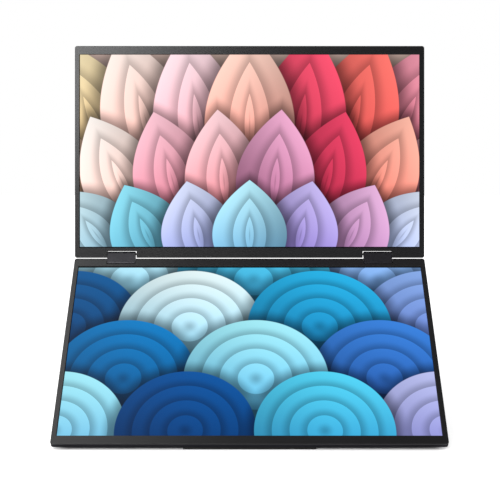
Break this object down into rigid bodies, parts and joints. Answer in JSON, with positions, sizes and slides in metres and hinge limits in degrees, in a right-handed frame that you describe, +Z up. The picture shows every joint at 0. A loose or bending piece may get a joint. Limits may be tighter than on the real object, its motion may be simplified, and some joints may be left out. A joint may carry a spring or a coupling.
{
  "type": "dual portable monitor",
  "caption": "Folding portable monitor: an upper and a lower flat screen joined edge to edge by two-shaft friction hinges, propped on a fold-out back stand.",
  "frame": {"origin": "middle of the front foot's sole, on the surface that the monitor stands on", "axes": "+Z up, screens face -Y, +X to the viewer's right"},
  "size_m": [0.3558, 0.1954, 0.3727],
  "materials": {
    "cover_metal": "dark grey anodised, fine satin blast",
    "bezel_plastic": "near-black moulded, semi-matt",
    "screen_glass": "smooth anti-glare glass over a lit picture",
    "light_guide": "clear acrylic with white films",
    "tray_steel": "pressed sheet",
    "circuit_board": "green solder mask",
    "hinge_metal": "dark satin die casting",
    "black_steel": "turned or pressed, blackened",
    "stand_metal": "dark grey anodised, fine satin blast",
    "foot_rubber": "matt",
    "key_plastic": "satin moulded",
    "component_plastic": "matt black",
    "light_plastic": "clear",
    "steel": "turned or pressed, plain"
  },
  "bodies": {
    "lower_unit": {"lower_rear_cover": "cover_metal", "lower_front_bezel": "bezel_plastic", "lower_lcd_cell": "screen_glass", "lower_backlight": "light_guide", "lower_panel_tray": "tray_steel", "lower_light_bar": "circuit_board", "lower_driver_board": "circuit_board", "left_lower_hinge_bracket": "steel", "right_lower_hinge_bracket": "steel", "left_lower_hinge_shaft": "black_steel", "right_lower_hinge_shaft": "black_steel", "lower_bracket_screws": "steel", "front_foot": "foot_rubber", "stand_ears": "steel", "stand_ear_screws": "steel", "main_board": "circuit_board", "board_chips": "component_plastic", "usb_c_sockets": "steel", "mini_hdmi_socket": "steel", "key_board": "circuit_board", "key_switches": "component_plastic", "status_light": "light_plastic", "board_screws": "steel", "left_speaker": "component_plastic", "right_speaker": "component_plastic"},
    "hinge_links": {"left_hinge_cover": "hinge_metal", "left_link_plates": "black_steel", "left_friction_clips": "steel", "right_hinge_cover": "hinge_metal", "right_link_plates": "black_steel", "right_friction_clips": "steel"},
    "upper_unit": {"upper_rear_cover": "cover_metal", "upper_front_bezel": "bezel_plastic", "upper_lcd_cell": "screen_glass", "upper_backlight": "light_guide", "upper_panel_tray": "tray_steel", "upper_light_bar": "circuit_board", "upper_driver_board": "circuit_board", "left_upper_hinge_bracket": "steel", "right_upper_hinge_bracket": "steel", "left_upper_hinge_shaft": "black_steel", "right_upper_hinge_shaft": "black_steel", "upper_bracket_screws": "steel"},
    "stand": {"stand_plate": "stand_metal", "stand_pins": "steel", "stand_pad": "foot_rubber"},
    "power_button": {"power_button": "key_plastic"},
    "brightness_up_button": {"brightness_up_button": "key_plastic"},
    "brightness_down_button": {"brightness_down_button": "key_plastic"}
  },
  "joints": [
    {"name": "lower_hinge", "type": "hinge", "parent": "lower_unit", "child": "hinge_links", "pos_m": [0, 0.14797, 0.1526], "axis": [-1, 0, 0], "range_deg": [-69.75, 62.75]},
    {"name": "upper_hinge", "type": "hinge", "parent": "hinge_links", "child": "upper_unit", "pos_m": [0, 0.15203, 0.16119], "axis": [-1, 0, 0], "range_deg": [-69.75, 62.75]},
    {"name": "stand_fold", "type": "hinge", "parent": "lower_unit", "child": "stand", "pos_m": [0, 0.11057, 0.10392], "axis": [1, 0, 0], "range_deg": [-82, 0]},
    {"name": "power_button_press", "type": "slide", "parent": "lower_unit", "child": "power_button", "axis": [-1, 0, 0], "range_m": [0, 0.0005], "stiffness_N_per_m": 1500},
    {"name": "brightness_up_button_press", "type": "slide", "parent": "lower_unit", "child": "brightness_up_button", "axis": [-1, 0, 0], "range_m": [0, 0.0005], "stiffness_N_per_m": 1500},
    {"name": "brightness_down_button_press", "type": "slide", "parent": "lower_unit", "child": "brightness_down_button", "axis": [-1, 0, 0], "range_m": [0, 0.0005], "stiffness_N_per_m": 1500}
  ],
  "couplings": [
    {"joint": "upper_hinge", "follows": "lower_hinge", "ratio": 1}
  ]
}
